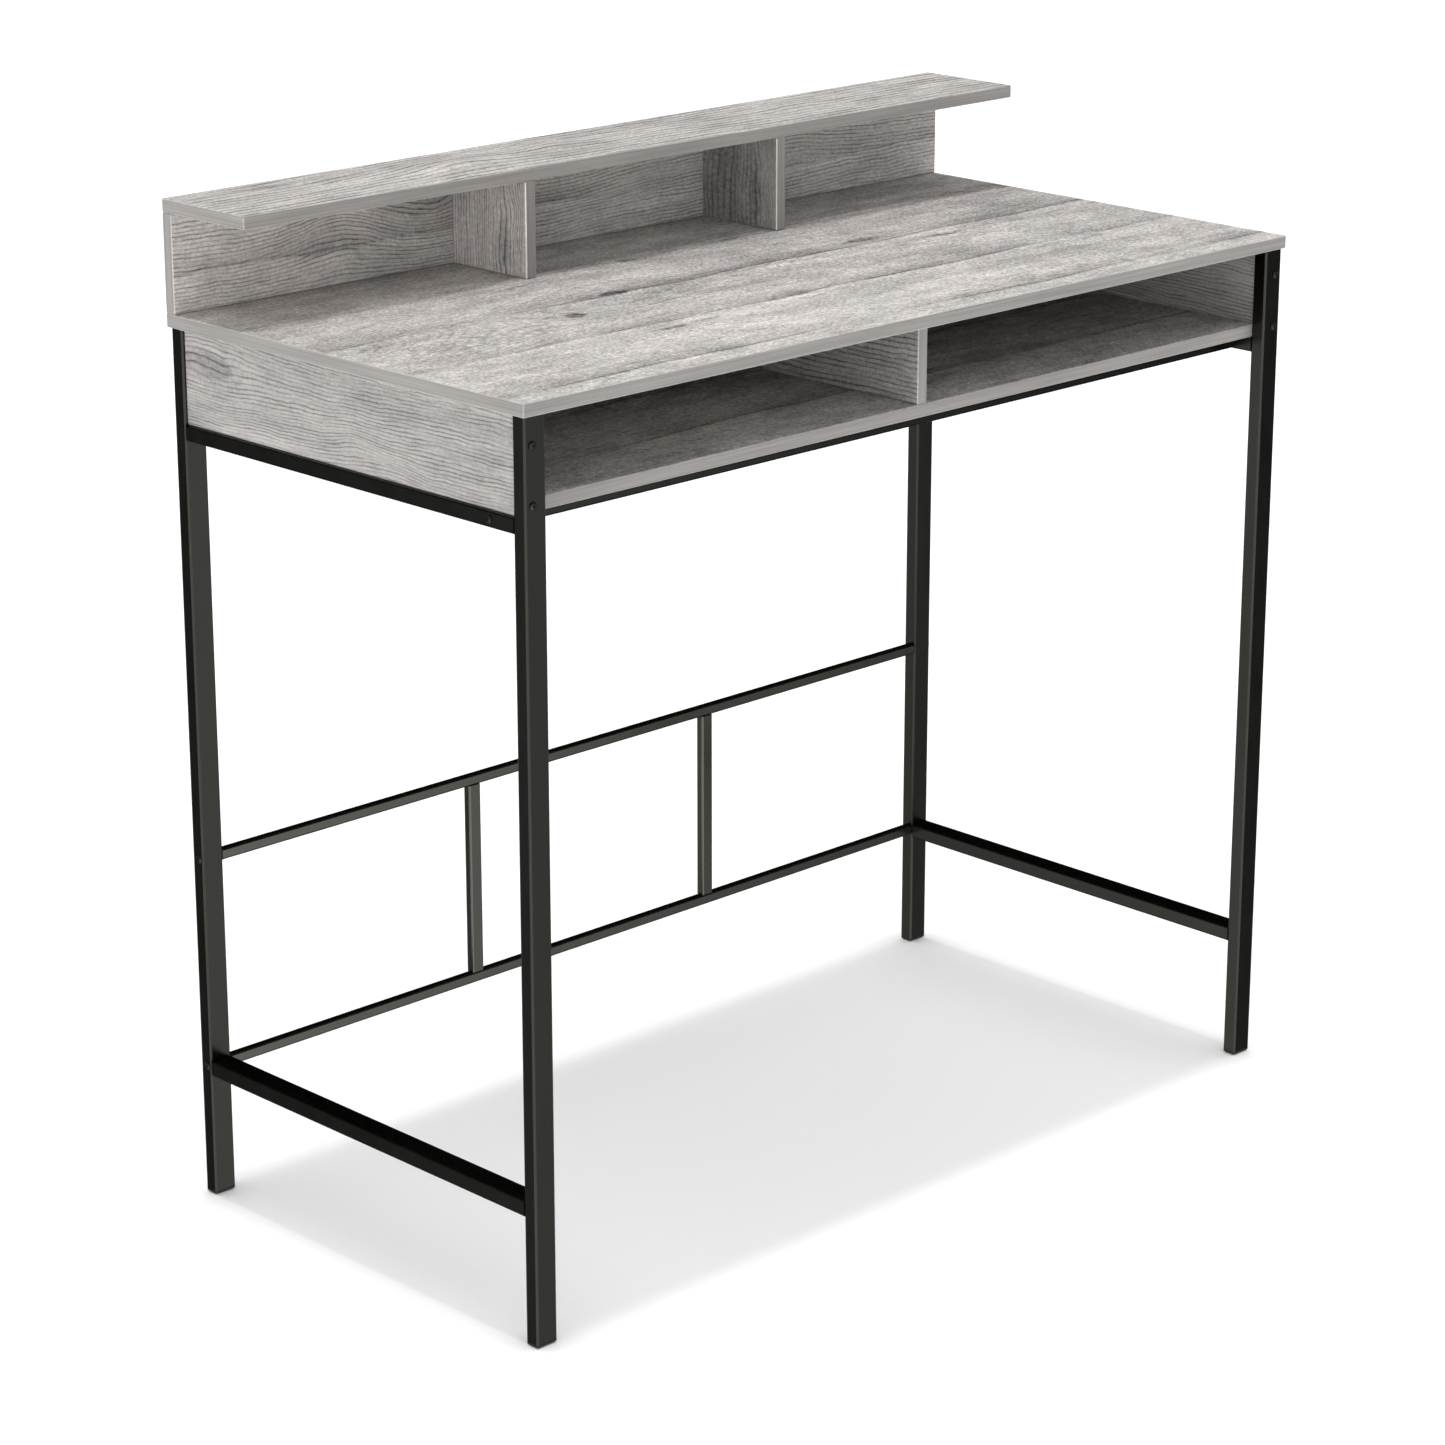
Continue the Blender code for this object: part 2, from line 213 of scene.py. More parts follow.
feed(edge_rub, out["Rub"], rubbed)
# Upright rounded edges, which the boards lighten as a painted highlight.
feed(edge_rub, out["Upright Highlight"], on_edge * (1.0 - squareness[2].step(0.1, 0.4)))

# Powder coating: a little uneven in colour and sheen, with a fine orange peel.
powder_coat, given, out = new_group(
    "powder coat",
    {
        "Place": (0.0, 0.0, 0.0),
        "Colour": (0.01, 0.01, 0.01, 1.0),
        "Rubbed Colour": (0.05, 0.05, 0.05, 1.0),
        "Rub": 0.0,
        "Sheen Roughness": 0.4,
    },
    {"Colour": "Color", "Roughness": "Float", "Height": "Float"},
)
peel = noise(
    powder_coat, given["Place"], (PEEL_CELLS_PER_METRE,) * 3, detail=2.0, roughness=0.6
)
cloudy = noise(powder_coat, given["Place"], (14.0, 14.0, 9.0), detail=3.0, seed=4.0)
handled = noise(powder_coat, given["Place"], (55.0, 55.0, 22.0), detail=4.0, seed=9.0)
lightened = (cloudy.step(0.3, 0.7) * 0.35 + peel.step(0.55, 0.8) * 0.25) * 0.5
worn = (given["Rub"] * 0.75 + lightened * 0.6).done("MINIMUM", 1.0)
feed(
    powder_coat,
    out["Colour"],
    mixed(powder_coat, worn, given["Colour"], given["Rubbed Colour"]),
)
feed(
    powder_coat,
    out["Roughness"],
    given["Sheen Roughness"]
    + (handled - 0.5) * 0.10
    + (peel - 0.5) * 0.06
    - given["Rub"] * 0.06,
)
feed(powder_coat, out["Height"], peel)


def new_material(name):
    """An empty material: its nodes, its own place coordinates and its Principled BSDF."""
    material = bpy.data.materials.new(name)
    material.use_nodes = True
    tree = material.node_tree
    tree.nodes.clear()
    surface = add_node(tree, "OutputMaterial")
    shader = add_node(tree, "BsdfPrincipled")
    tree.links.new(shader.outputs[0], surface.inputs["Surface"])
    return material, tree, add_node(tree, "TexCoord").outputs["Object"], shader


def raise_grain(tree, shader, height, depth):
    """Feeds a height from 0 to 1 to the shader's normal, as deep as the real relief."""
    bump = add_node(
        tree, "Bump", {"Height": height, "Strength": 1.0, "Distance": depth}
    )
    feed(tree, shader.inputs["Normal"], bump.outputs[0])


def finish_with(material, *names):
    """Gives these CAD nodes the material."""
    for name in names:
        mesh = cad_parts[name].data
        mesh.materials.clear()
        mesh.materials.append(material)


def coated_steel(name, sheen_roughness, specular, ior):
    """Black powder coat over steel, a little lighter along its edges."""
    material, tree, place, shader = new_material(name)
    rub = use_group(
        tree, edge_rub, {"Place": place, "Patches Per Metre": 40.0, "Least": 0.25}
    )
    coat = use_group(
        tree,
        powder_coat,
        {
            "Place": place,
            "Colour": POWDER_BLACK,
            "Rubbed Colour": POWDER_RUBBED,
            "Rub": rub["Rub"],
            "Sheen Roughness": sheen_roughness,
        },
    )
    feed(tree, shader.inputs["Base Color"], coat["Colour"])
    feed(tree, shader.inputs["Roughness"], coat["Roughness"])
    shader.inputs["Specular IOR Level"].default_value = specular
    shader.inputs["IOR"].default_value = ior
    shader.inputs["Specular Tint"].default_value = POWDER_SHEEN_TINT
    raise_grain(tree, shader, coat["Height"], PEEL_DEPTH)
    return material


black_frame = coated_steel(
    "satin black powder coat", FRAME_ROUGHNESS, FRAME_SPECULAR, FRAME_IOR
)
finish_with(black_frame, *FRAME_TUBES)
# The ladder gets a glossier copy of the coat so it catches more light than the rest of the
# frame: a painted sheen in place of the brighter light on it.
ladder_coat_painted_sheen = coated_steel(
    "satin black ladder coat with painted sheen", LADDER_ROUGHNESS, LADDER_SPECULAR, LADDER_IOR
)
finish_with(ladder_coat_painted_sheen, *LADDER_TUBES)


# ---------------------------------------------------------------------------
# The feet: four injection moulded caps, pushed into the open ends of the legs.
# They are black polypropylene with a fine spark-eroded texture, a little
# greyer and duller than the coated steel above them.
# ---------------------------------------------------------------------------

FEET = [f"foot_{end}_{side}" for end in ENDS for side in SIDES]
FOOT_BLACK = (0.009, 0.009, 0.009, 1.0)
FOOT_SCUFFED = (0.045, 0.045, 0.043, 1.0)
FOOT_ROUGHNESS = 0.62
FOOT_TEXTURE_DEPTH = 0.00008

foot_plastic, tree, place, shader = new_material("black moulded foot")
rub = use_group(tree, edge_rub, {"Place": place, "Patches Per Metre": 90.0, "Least": 0.5})
grit = noise(tree, place, (1500.0, 1500.0, 1500.0), detail=2.0)
scuffs = noise(tree, place, (160.0, 160.0, 420.0), detail=4.0, roughness=0.65)
scuffed = (Field(tree, rub["Rub"]) * 0.5 + scuffs.step(0.52, 0.72) * 0.35).done(
    "MINIMUM", 1.0
)
feed(tree, shader.inputs["Base Color"], mixed(tree, scuffed, FOOT_BLACK, FOOT_SCUFFED))
feed(tree, shader.inputs["Roughness"], FOOT_ROUGHNESS + (scuffs - 0.5) * 0.3)
raise_grain(tree, shader, grit, FOOT_TEXTURE_DEPTH)
finish_with(foot_plastic, *FEET)


# ---------------------------------------------------------------------------
# The frame's screws: button head machine screws with a hexagon socket, in
# black oxide steel. Two hold each leg to the side panel, one holds each end of
# the rail under the shelf, and two each side hold the back ladder.
# ---------------------------------------------------------------------------

FRAME_SCREWS = [
    *(f"panel_screw_{end}_{side}_{level}" for end in ENDS for side in SIDES for level in LEVELS),
    *(f"back_rail_screw_{side}_{level}" for side in SIDES for level in LEVELS),
    *(f"cross_rail_screw_{side}" for side in SIDES),
]
OXIDE_BLACK = (0.018, 0.018, 0.017, 1.0)
OXIDE_WORN = (0.11, 0.105, 0.10, 1.0)
OXIDE_ROUGHNESS, OXIDE_METALLIC = 0.38, 0.6
TOOLING_DEPTH = 0.00002


def brushed_metal(name, metal, worn_metal, roughness, metallic):
    """Turned screw metal: fine tooling marks and blotches, brighter where it has rubbed."""
    material, tree, place, shader = new_material(name)
    rub = use_group(
        tree, edge_rub, {"Place": place, "Patches Per Metre": 420.0, "Least": 0.2}
    )
    marks = noise(tree, place, (2600.0, 2600.0, 2600.0), detail=3.0, roughness=0.6)
    blotches = noise(tree, place, (300.0, 300.0, 300.0), detail=3.0, seed=3.0)
    bare = (Field(tree, rub["Rub"]) * 0.4 + blotches.step(0.5, 0.8) * 0.5).done(
        "MINIMUM", 1.0
    )
    feed(tree, shader.inputs["Base Color"], mixed(tree, bare, metal, worn_metal))
    feed(
        tree,
        shader.inputs["Roughness"],
        roughness + (marks - 0.5) * 0.25 + (blotches - 0.5) * 0.2,
    )
    shader.inputs["Metallic"].default_value = metallic
    raise_grain(tree, shader, marks, TOOLING_DEPTH)
    return material


black_screw = brushed_metal(
    "black oxide screw", OXIDE_BLACK, OXIDE_WORN, OXIDE_ROUGHNESS, OXIDE_METALLIC
)
finish_with(black_screw, *FRAME_SCREWS)


# ---------------------------------------------------------------------------
# The side panels: 15 mm particle board faced with grey oak melamine, its
# grain running front to back, and edged with plain grey ABS tape. Each stands
# on the upper side rail between two legs, held by screws through the legs.
# ---------------------------------------------------------------------------

BOARD_TINT = (1.047, 1.0, 0.962)
BOARD_SPECULAR = 0.35
TAPE_TONE = 0.578
TAPE_ROUGHNESS = 0.52
# Board edges print lighter all along: partly wear, partly a painted highlight on every rounded
# edge.
EDGE_WEAR_AND_HIGHLIGHT = 0.10
# How much lighter the upright arrises are printed: a painted highlight.
ARRIS_PAINTED_HIGHLIGHT = 0.05
TONE_GAMMA = 2.2
PLANK_WIDTH = 0.141
GRAIN_DEPTH = 0.00022

# One figure in the decor: a knot that darkens the print and parts the grain round
# it, or, with no darkness, a place where the grain lifts over in a crest.
figure, given, out = new_group(
    "figure",
    {
        "Grain": (0.0, 0.0, 0.0),
        "Along": 0.0,
        "Across": 0.0,
        "Length": 0.03,
        "Width": 0.008,
        "Lift": 0.0,
        "Parting": 1.0,
    },
    {"Grain": "Vector", "Dark": "Float"},
)
along, across, through = parts_of(figure, given["Grain"])
ragged = noise(figure, given["Grain"], (75.0, 190.0, 40.0), detail=3.0, roughness=0.6) - 0.5
off_along = (along - given["Along"]) / given["Length"]
off_across = (across - given["Across"]) / given["Width"]
spread = (
    (off_along + ragged * 0.9) ** 2.0 + (off_across + ragged * 1.3) ** 2.0
).done("SQRT")
rim = ((spread - 0.72) * (spread - 0.72) * -16.0).done("EXPONENT")
heart = (spread * spread * -5.0).done("EXPONENT")
tail = ((off_along * off_along * 0.17 + off_across * off_across * 0.8) * -1.0).done(
    "EXPONENT"
)
parting = (
    (off_along * off_along * 0.25 + off_across * off_across * 0.18) * -1.0
).done("EXPONENT")
crest = ((off_along * off_along + off_across * off_across * 0.6) * -1.0).done("EXPONENT")
moved = (
    across
    - off_across * parting * given["Width"] * given["Parting"] * 0.62
    - crest * given["Lift"]
)
feed(figure, out["Grain"], joined(figure, along, moved, through))
feed(figure, out["Dark"], rim * 0.60 + heart * 0.85 + tail * (0.20 + ragged * 0.5))

# The printed decor: planks of grey washed oak with growth lines, pores and flecks.
# Tone is how light the print is, as the eye sees it, from 0 for black to 1 for white.
oak_decor, given, out = new_group(
    "grey oak decor",
    {
        "Grain": (0.0, 0.0, 0.0),
        "Straight": (0.0, 0.0, 0.0),
        "Tone": 0.69,
        "Plank Shift": 0.0,
        "Joint Strength": 1.0,
        "Ring Spacing": 0.0055,
        "Ring Strength": 1.0,
        "Pith": 0.0,
        "Pith Depth": 0.06,
        "Fleck Strength": 1.0,
        "Seed": 0.0,
    },
    {"Tone": "Float", "Height": "Float", "Roughness": "Float"},
)
along, across, through = parts_of(oak_decor, given["Grain"])
straight = parts_of(oak_decor, given["Straight"])[1]
seeded = joined(
    oak_decor, along + given["Seed"] * 3.1, straight, through + given["Seed"] * 1.3
)
wobble = (noise(oak_decor, seeded, (3.2, 0.0, 0.0), detail=2.0) - 0.5) * 0.045
plank_place = (straight + wobble + given["Plank Shift"]) / PLANK_WIDTH
plank = plank_place.done("FLOOR")
in_plank = plank_place - plank
grain = joined(
    oak_decor,
    along + plank * 2.37 + given["Seed"] * 3.1,
    across,
    through + plank * 0.71 + given["Seed"] * 1.3,
)
wander = (noise(oak_decor, grain, (1.6, 2.0, 2.0), detail=1.0) - 0.5) * 0.045
ripple = (noise(oak_decor, grain, (9.0, 16.0, 9.0), detail=2.0, seed=5.0) - 0.5) * 0.012
tremble = (noise(oak_decor, grain, (55.0, 90.0, 20.0), detail=2.0) - 0.5) * 0.0026
wavering = across + wander + ripple + tremble
from_pith = wavering - given["Pith"]
depth = (
    given["Pith Depth"]
    * (noise(oak_decor, grain, (2.3, 0.0, 3.0), detail=1.0, seed=8.0) * 3.4 - 0.9)
)
radius = (from_pith * from_pith + depth * depth).done("SQRT")
ring = (radius / given["Ring Spacing"]).done("FRACT")
late_wood = ring.step(0.50, 0.88) * (1.0 - ring.step(0.90, 1.0))
ring_fade = noise(oak_decor, grain, (12.0, 105.0, 12.0), detail=3.0, seed=12.0)
lines = late_wood * (0.35 + ring_fade.step(0.36, 0.62) * 0.85) * given["Ring Strength"]
wavy = joined(oak_decor, along, wavering, through)
broad = noise(oak_decor, wavy, (1.8, 9.0, 3.0), detail=2.0, seed=21.0) - 0.5
streak = noise(oak_decor, wavy, (5.0, 62.0, 8.0), detail=3.0, seed=33.0) - 0.5
fine = noise(oak_decor, wavy, (22.0, 420.0, 30.0), detail=3.0, seed=41.0) - 0.5
cloud = noise(oak_decor, wavy, (22.0, 40.0, 20.0), detail=3.0, seed=58.0) - 0.5
fleck = noise(oak_decor, wavy, (105.0, 200.0, 50.0), detail=3.0, roughness=0.6, seed=52.0)
speckle = noise(oak_decor, wavy, (240.0, 300.0, 90.0), detail=3.0, roughness=0.65) - 0.5
clustered = noise(oak_decor, grain, (6.0, 19.0, 9.0), detail=2.0, seed=85.0).step(0.46, 0.64)
flecked = (
    (fleck - 0.5) * 0.5
    + speckle * 0.72
    - fleck.step(0.54, 0.66) * (0.05 + clustered * 0.17)
    - clustered * 0.035
)
pores = noise(oak_decor, grain, (34.0, 560.0, 60.0), detail=2.0, seed=63.0)
pore = pores.step(0.58, 0.70)
plank_tone = (plank * 0.75 + given["Seed"] + 4.52).done("SINE")
joint_gap = in_plank.done("MINIMUM", 1.0 - in_plank) * PLANK_WIDTH
joint_fade = noise(oak_decor, seeded, (3.4, 3.0, 1.0), detail=2.0, seed=71.0)
joint = (1.0 - joint_gap.step(0.0004, 0.0042)) * joint_fade.step(0.36, 0.62)
shade = (1.0 - in_plank.step(0.0, 0.26)) * joint_fade.step(0.30, 0.62)
tone = (
    given["Tone"]
    + broad * 0.22
    + streak * 0.12
    + fine * 0.16
    + cloud * (0.04 + given["Fleck Strength"] * 0.22)
    + flecked * given["Fleck Strength"]
    + plank_tone * 0.042
    - lines * 0.17
    - pore * 0.05
    - joint * given["Joint Strength"] * 0.17
    - shade * given["Joint Strength"] * 0.10
)
feed(oak_decor, out["Tone"], tone)
feed(
    oak_decor,
    out["Height"],
    0.7 + fine * 0.35 + flecked * 0.5 - pore * 0.3 - lines * 0.16 - joint * 0.35,
)
feed(oak_decor, out["Roughness"], 0.50 + pore * 0.12 - streak * 0.2 + lines * 0.06)

# Edge tape: plain grey with hair-fine lines running along the edge of the board.
edge_tape, given, out = new_group(
    "edge tape",
    {"Grain": (0.0, 0.0, 0.0), "Tone": TAPE_TONE},
    {"Tone": "Float", "Height": "Float"},
)
along, across, through = parts_of(edge_tape, given["Grain"])
run = joined(edge_tape, along + across, through, across * 0.2)
threads = noise(edge_tape, run, (5.0, 420.0, 3.0), detail=3.0, roughness=0.6) - 0.5
patchy = noise(edge_tape, run, (7.0, 60.0, 5.0), detail=2.0, seed=7.0) - 0.5
feed(edge_tape, out["Tone"], given["Tone"] + threads * 0.20 + patchy * 0.07)
feed(edge_tape, out["Height"], 0.6 + threads * 0.5)

# Which way a board's surface looks: 1 on its two faces, 0 on its taped edges.
board_face, given, out = new_group(
    "board face", {"Through": (0.0, 0.0, 1.0)}, {"Face": "Float"}
)
facing = add_node(board_face, "VectorMath", operation="DOT_PRODUCT")
way_round = add_node(board_face, "NewGeometry").outputs["True Normal"]
feed(board_face, facing.inputs[0], way_round)
feed(board_face, facing.inputs[1], given["Through"])
face = Field(board_face, facing.outputs["Value"]).size().step(0.55, 0.95)
feed(board_face, out["Face"], face)


def board_material(name, axes, decor, figures=(), tape=TAPE_TONE, arris_highlight=ARRIS_PAINTED_HIGHLIGHT):
    """Faced board. axes is its grain, width and thickness direction, such as "yzx"."""
    material, tree, place, shader = new_material(name)
    split = dict(zip("xyz", parts_of(tree, place)))
    taped = grain = joined(tree, *(split[axis] for axis in axes))
    dark = 0.0
    for along, across, length, width, strength, lift in figures:
        eye = use_group(
            tree,
            figure,
            {
                "Grain": grain,
                "Along": along,
                "Across": across,
                "Length": length,
                "Width": width,
                "Lift": lift,
                "Parting": float(strength > 0.0),
            },
        )
        grain = eye["Grain"]
        dark = Field(tree, eye["Dark"]) * strength + dark
    print_ = use_group(tree, oak_decor, {"Grain": grain, "Straight": taped, **decor})
    strip = use_group(tree, edge_tape, {"Grain": taped, "Tone": tape})
    thickness = tuple(float(axes[2] == axis) for axis in "xyz")
    face = Field(tree, use_group(tree, board_face, {"Through": thickness})["Face"])
    rub = use_group(
        tree, edge_rub, {"Place": place, "Patches Per Metre": 60.0, "Least": 0.6}
    )
    printed = Field(tree, print_["Tone"])
    if figures:
        printed = printed - dark
    # Rounded edges print lighter, partly wear and partly painted highlight; upright arrises
    # lighter still, a painted highlight.
    tone = (
        printed * face
        + Field(tree, strip["Tone"]) * (1.0 - face)
        + Field(tree, rub["Rub"]) * EDGE_WEAR_AND_HIGHLIGHT
        + Field(tree, rub["Upright Highlight"]) * arris_highlight
    )
    light = tone.done("MAXIMUM", 0.05) ** TONE_GAMMA
    colour = add_node(
        tree,
        "CombineColor",
        {name: light * tint for name, tint in zip(("Red", "Green", "Blue"), BOARD_TINT)},
    )
    feed(tree, shader.inputs["Base Color"], colour.outputs[0])
    feed(
        tree,
        shader.inputs["Roughness"],
        Field(tree, print_["Roughness"]) * face + (1.0 - face) * TAPE_ROUGHNESS,
    )
    shader.inputs["Specular IOR Level"].default_value = BOARD_SPECULAR
    height = Field(tree, print_["Height"]) * face + Field(tree, strip["Height"]) * (
        1.0 - face
    )
    raise_grain(tree, shader, height, GRAIN_DEPTH)
    return material


# Each figure is its place along and across the grain, its length and width, its
# darkness, and how far it lifts the grain. A negative darkness is a paler patch.
SIDE_FIGURES = [
    (-0.060, 0.918, 0.090, 0.026, 0.0, 0.011),
    (-0.015, 0.938, 0.032, 0.014, 0.0, 0.006),
    (-0.130, 0.926, 0.030, 0.014, 0.0, -0.004),
    (0.235, 0.984, 0.055, 0.016, 0.13, 0.0),
]
# The right panel shows only its inner face, in the shade of the compartment, so it is printed
# darker: painted shade.
for side, tone in zip(SIDES, (0.678, 0.630)):
    side_board = board_material(
        f"grey oak side board {side}",
        "yzx",
        {
            "Tone": tone,
            "Joint Strength": 0.0,
            "Plank Shift": 0.40,
            "Ring Spacing": 0.0042,
            "Ring Strength": 1.15,
            "Pith": 0.80,
            "Pith Depth": 0.020,
            "Fleck Strength": 0.28,
            "Seed": 1.0,
        },
        figures=SIDE_FIGURES,
    )
    finish_with(side_board, f"side_panel_{side}")


# ---------------------------------------------------------------------------
# The lower shelf: one 15 mm faced board with its grain along the desk, resting
# on the upper side rails and on the rail across the front. It is the floor of
# the two open compartments, and is taped in grey along its front edge.
# ---------------------------------------------------------------------------

# A broad paler patch on the left of the shelf, where light from the left reaches into that
# compartment: painted light.
LOWER_SHELF_PAINTED_LIGHT = [(-0.36, -0.12, 0.25, 0.13, -0.13, 0.0)]
lower_shelf_board = board_material(
    "grey oak lower shelf",
    "xyz",
    {"Tone": 0.69, "Plank Shift": 0.03, "Ring Strength": 0.5, "Seed": 2.0},
    figures=LOWER_SHELF_PAINTED_LIGHT,
)
finish_with(lower_shelf_board, "lower_shelf")


# ---------------------------------------------------------------------------
# The backs: a strip of the same board closes the compartments under the desk,
# and another stands on the desk behind the hutch. The grain runs along both,
# and it is bold, with open arches where the saw met the heart of the trunk.
# ---------------------------------------------------------------------------

BACK_FIGURES = [
    (-0.365, 1.098, 0.070, 0.034, 0.0, 0.017),
    (-0.235, 1.108, 0.034, 0.014, 0.10, -0.004),
    (-0.010, 1.112, 0.070, 0.030, 0.0, -0.008),
    (0.330, 1.108, 0.060, 0.026, 0.0, 0.008),
    # A broad paler patch at the left of the hutch back, where light from the open left end falls
    # in: painted light.
    (-0.480, 1.080, 0.170, 0.090, -0.085, 0.0),
]
back_board = board_material(
    "grey oak back board",
    "xzy",
    {
        "Tone": 0.725,
        "Plank Shift": 0.053,
        "Joint Strength": 0.6,
        "Ring Spacing": 0.0043,
        "Ring Strength": 1.3,
        "Pith": 1.19,
        "Pith Depth": 0.030,
        "Fleck Strength": 0.45,
        "Seed": 5.5,
    },
    figures=BACK_FIGURES,
)
finish_with(back_board, "back_panel", "hutch_back_panel")


# ---------------------------------------------------------------------------
# The centre divider: a short upright of the same board between the lower
# shelf and the desktop, with its grain front to back and its front edge taped.
# ---------------------------------------------------------------------------

centre_divider_board = board_material(
    "grey oak centre divider",
    "yzx",
    {
        "Tone": 0.61,
        "Joint Strength": 0.0,
        "Plank Shift": 0.40,
        "Ring Strength": 1.2,
        "Pith": 0.90,
        "Pith Depth": 0.030,
        "Fleck Strength": 0.5,
        "Seed": 4.0,
    },
)
finish_with(centre_divider_board, "centre_divider")


# ---------------------------------------------------------------------------
# The desktop: a single 15 mm faced board over the whole frame, printed as
# washed planks with dark joints, a few small knots and hair cracks. It rests
# on the legs and side panels and is held by dowels from below.
# ---------------------------------------------------------------------------

DESKTOP_FIGURES = [
    (-0.184, 0.027, 0.020, 0.0100, 0.26, 0.002),
    (-0.291, -0.026, 0.012, 0.0110, 0.34, 0.0),
    (0.222, 0.043, 0.024, 0.0085, 0.28, 0.0),
    (0.322, -0.001, 0.034, 0.0065, 0.20, 0.0),
    (-0.053, 0.147, 0.016, 0.0065, 0.24, 0.0),
    (-0.238, 0.126, 0.020, 0.0050, 0.14, 0.0),
    (0.117, 0.153, 0.014, 0.0055, 0.20, 0.0),
    (-0.262, -0.142, 0.026, 0.0036, 0.20, 0.004),
    (-0.199, -0.138, 0.016, 0.0030, 0.15, 0.002),
    (-0.055, -0.115, 0.034, 0.0100, 0.12, 0.006),
    (-0.450, -0.050, 0.060, 0.0300, 0.05, 0.0),
    (0.000, 0.235, 0.140, 0.0500, -0.09, 0.0),
]
desktop_board = board_material(
    "grey oak desktop",
    "xyz",
    {
        "Tone": 0.765,
        "Plank Shift": 0.117,
        "Ring Strength": 0.40,
        "Pith Depth": 0.05,
        "Fleck Strength": 1.0,
        "Seed": 5.0,
    },
    figures=DESKTOP_FIGURES,
)
finish_with(desktop_board, "desktop")


# ---------------------------------------------------------------------------
# The hutch: two short uprights and a full-length shelf on the rear of the
# desktop, in the same board. The uprights have vertical grain. The screws
# that hold the hutch come up from under the desktop.
# ---------------------------------------------------------------------------

HUTCH_SCREWS = [
    f"hutch_screw_{place}"
    for place in ("left", "right", "back_left", "back_middle", "back_right")
]
ZINC = (0.62, 0.62, 0.63, 1.0)
ZINC_DULL = (0.40, 0.40, 0.41, 1.0)
ZINC_ROUGHNESS, ZINC_METALLIC = 0.32, 1.0

DIVIDER_FIGURES = [
    (1.068, 0.185, 0.030, 0.010, 0.13, 0.0),
    (1.075, 0.168, 0.018, 0.010, 0.0, 0.004),
    (1.105, 0.166, 0.016, 0.010, 0.0, -0.004),
]
DIVIDER_TAPE_TONE = 0.535
# The dividers' upright front arrises get a stronger painted highlight.
DIVIDER_ARRIS_PAINTED_HIGHLIGHT = 0.26
# The right divider stands in the shade of the left one: it is printed darker, and a long dark
# patch towards its back is painted shade.
PAINTED_SHADE_UPRIGHT = (1.090, 0.238, 0.120, 0.030, 0.08, 0.0)
for side, tone, seed, rings, painted_shade_figures in (
    ("left", 0.715, 6.0, 1.15, ()),
    ("right", 0.615, 8.0, 0.75, (PAINTED_SHADE_UPRIGHT,)),
):
    hutch_divider_board = board_material(
        f"grey oak hutch divider {side}",
        "zyx",
        {
            "Tone": tone,
            "Joint Strength": 0.0,
            "Plank Shift": 0.50,
            "Ring Spacing": 0.0044,
            "Ring Strength": rings,
            "Pith": 0.08,
            "Pith Depth": 0.030,
            "Fleck Strength": 0.5,
            "Seed": seed,
        },
        figures=(*DIVIDER_FIGURES, *painted_shade_figures),
        tape=DIVIDER_TAPE_TONE,
        arris_highlight=DIVIDER_ARRIS_PAINTED_HIGHLIGHT,
    )
    finish_with(hutch_divider_board, f"hutch_divider_{side}")

SHELF_FIGURES = [
    (-0.230, 0.236, 0.070, 0.034, 0.0, 0.026),
    (-0.090, 0.240, 0.040, 0.024, 0.0, 0.014),
    (-0.460, 0.232, 0.060, 0.026, 0.0, -0.010),
    (0.300, 0.236, 0.050, 0.022, 0.0, 0.012),
]
hutch_shelf_board = board_material(
    "grey oak hutch shelf",
    "xyz",
    {
        "Tone": 0.785,
        "Plank Shift": 0.02,
        "Joint Strength": 0.3,
        "Ring Spacing": 0.0115,
        "Ring Strength": 1.6,
        "Pith": -0.02,
        "Pith Depth": 0.03,
        "Fleck Strength": 0.75,
        "Seed": 7.0,
    },
    figures=SHELF_FIGURES,
)
finish_with(hutch_shelf_board, "hutch_top_shelf")

zinc_screw = brushed_metal(
    "zinc plated screw", ZINC, ZINC_DULL, ZINC_ROUGHNESS, ZINC_METALLIC
)
finish_with(zinc_screw, *HUTCH_SCREWS)


# ---------------------------------------------------------------------------
# The dowels: plain beech pins, glued blind between the boards. They don't
# show in the finished desk, but they are there when it is taken apart.
# ---------------------------------------------------------------------------

DOWELS = [
    f"{board}_dowel_{end}_{side}"
    for board in ("desktop", "hutch")
    for end in ENDS
    for side in SIDES
]
BEECH_LIGHT = (0.62, 0.44, 0.27, 1.0)
BEECH_DARK = (0.38, 0.22, 0.11, 1.0)
BEECH_ROUGHNESS = 0.6
FIBRE_DEPTH = 0.0001

beech_dowel, tree, place, shader = new_material("beech dowel")
fibres = noise(tree, place, (1400.0, 1400.0, 90.0), detail=3.0)
rays = noise(tree, place, (2400.0, 2400.0, 500.0), detail=2.0, seed=2.0)
browned = fibres.step(0.35, 0.75) * 0.6 + rays.step(0.6, 0.7) * 0.4
feed(tree, shader.inputs["Base Color"], mixed(tree, browned, BEECH_LIGHT, BEECH_DARK))
feed(tree, shader.inputs["Roughness"], BEECH_ROUGHNESS + (fibres - 0.5) * 0.3)
raise_grain(tree, shader, fibres, FIBRE_DEPTH)
finish_with(beech_dowel, *DOWELS)


# ---------------------------------------------------------------------------
# The studio: a plain white floor, a soft sun straight overhead, and a white
# surround, brightest low down on the desk's left. What the gloss of the desk
# mirrors is set apart from it: bright in front, dim at the sides and behind.
# ---------------------------------------------------------------------------

FLOOR_HALF = 30.0
FLOOR_DROP = 0.0003
FLOOR_WHITE = (0.97, 0.97, 0.97, 1.0)
FLOOR_GLOW = 0.07
SUN_STRENGTH = 0.8
SUN_SPREAD = math.radians(2.6)

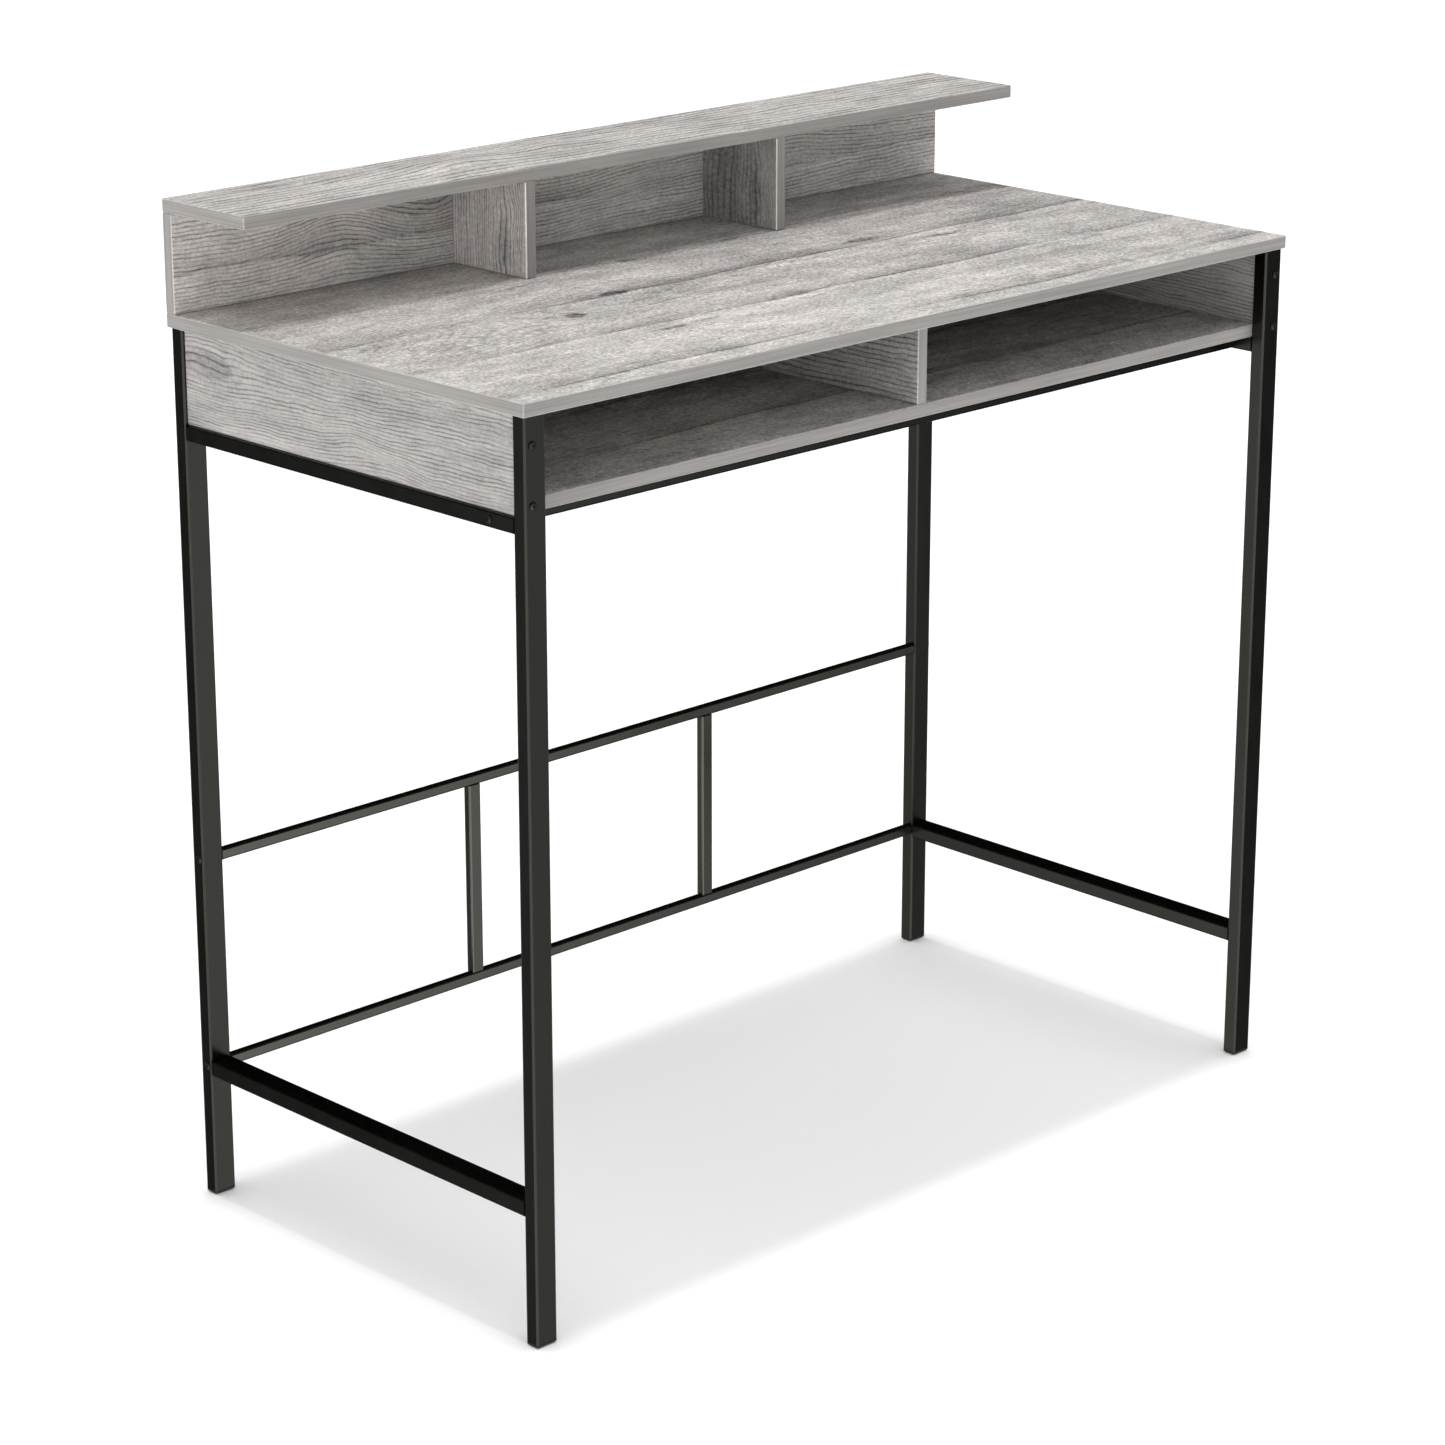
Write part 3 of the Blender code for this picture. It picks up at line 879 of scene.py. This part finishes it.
floor_mesh = bpy.data.meshes.new("floor")
floor_mesh.from_pydata(
    [
        (x * FLOOR_HALF, y * FLOOR_HALF, cad_low.z - FLOOR_DROP)
        for x, y in ((-1, -1), (1, -1), (1, 1), (-1, 1))
    ],
    [],
    [(0, 1, 2, 3)],
)
floor = bpy.data.objects.new("floor", floor_mesh)
bpy.context.scene.collection.objects.link(floor)
floor_white, _, _, shader = new_material("white studio floor")
shader.inputs["Base Color"].default_value = FLOOR_WHITE
shader.inputs["Roughness"].default_value = 1.0
shader.inputs["Specular IOR Level"].default_value = 0.0
shader.inputs["Emission Color"].default_value = (1.0, 1.0, 1.0, 1.0)
shader.inputs["Emission Strength"].default_value = FLOOR_GLOW
floor_mesh.materials.append(floor_white)
floor.visible_glossy = False

sun_data = bpy.data.lights.new("overhead sun", "SUN")
sun_data.energy, sun_data.angle = SUN_STRENGTH, SUN_SPREAD
sun = bpy.data.objects.new("overhead sun", sun_data)
sun.location = (0.0, 0.0, 4.0)
bpy.context.scene.collection.objects.link(sun)

SKY_LEVEL = 0.31
SKY_ABOVE = 1.30
HORIZON_FRONT = 1.15
HORIZON_LEFT = 4.00
MIRRORED_LEAST = 0.04
MIRRORED_FRONT = 1.6
MIRRORED_BEHIND = 0.45

world = bpy.data.worlds.new("studio surround")
bpy.context.scene.world = world
world.use_nodes = True
tree = world.node_tree
tree.nodes.clear()
towards = parts_of(tree, add_node(tree, "TexCoord").outputs["Generated"])
leftness = (towards[0] * -1.0).step(-0.2, 1.0)
near_horizon = 1.0 - towards[2].step(0.03, 0.17)
overhead = towards[2].step(0.45, 0.95)
fill = (
    SKY_LEVEL
    + near_horizon * (HORIZON_FRONT + leftness * HORIZON_LEFT)
    + overhead * SKY_ABOVE
)
frontness = towards[0] * -1.0 - towards[1]
behind = (frontness * -1.0).step(0.5, 1.0) * (1.0 - towards[2].step(-0.16, 0.0))
mirrored = (MIRRORED_LEAST + frontness.step(-0.14, 0.38) * MIRRORED_FRONT) * (
    1.0 - towards[2].step(-0.05, 0.27)
) + behind * MIRRORED_BEHIND
paths = add_node(tree, "LightPath").outputs
glossy, direct = (Field(tree, paths[f"Is {kind} Ray"]) for kind in ("Glossy", "Camera"))
lit = fill * (1.0 - glossy) + mirrored * glossy
seen = lit * (1.0 - direct) + direct
background = add_node(tree, "Background", {"Color": (1.0, 1.0, 1.0, 1.0), "Strength": seen})
tree.links.new(background.outputs[0], add_node(tree, "OutputWorld").inputs["Surface"])
bpy.context.scene.view_settings.view_transform = "Standard"

CAMERA_PLACE = Vector((-3.275, -3.309, 2.008))
CAMERA_HEADING = math.radians(45.68)
CAMERA_DIP = math.radians(17.96)
LENS_MM, SENSOR_MM = 104.6, 36.0
FARTHEST_SEEN = 100.0

camera_data = bpy.data.cameras.new("front left camera")
camera_data.lens, camera_data.sensor_width = LENS_MM, SENSOR_MM
camera_data.clip_end = FARTHEST_SEEN
camera = bpy.data.objects.new("front left camera", camera_data)
camera.location = CAMERA_PLACE
looking = Vector(
    (
        math.cos(CAMERA_HEADING) * math.cos(CAMERA_DIP),
        math.sin(CAMERA_HEADING) * math.cos(CAMERA_DIP),
        -math.sin(CAMERA_DIP),
    )
)
camera.rotation_euler = looking.to_track_quat("-Z", "Y").to_euler()
bpy.context.scene.collection.objects.link(camera)
bpy.context.scene.camera = camera
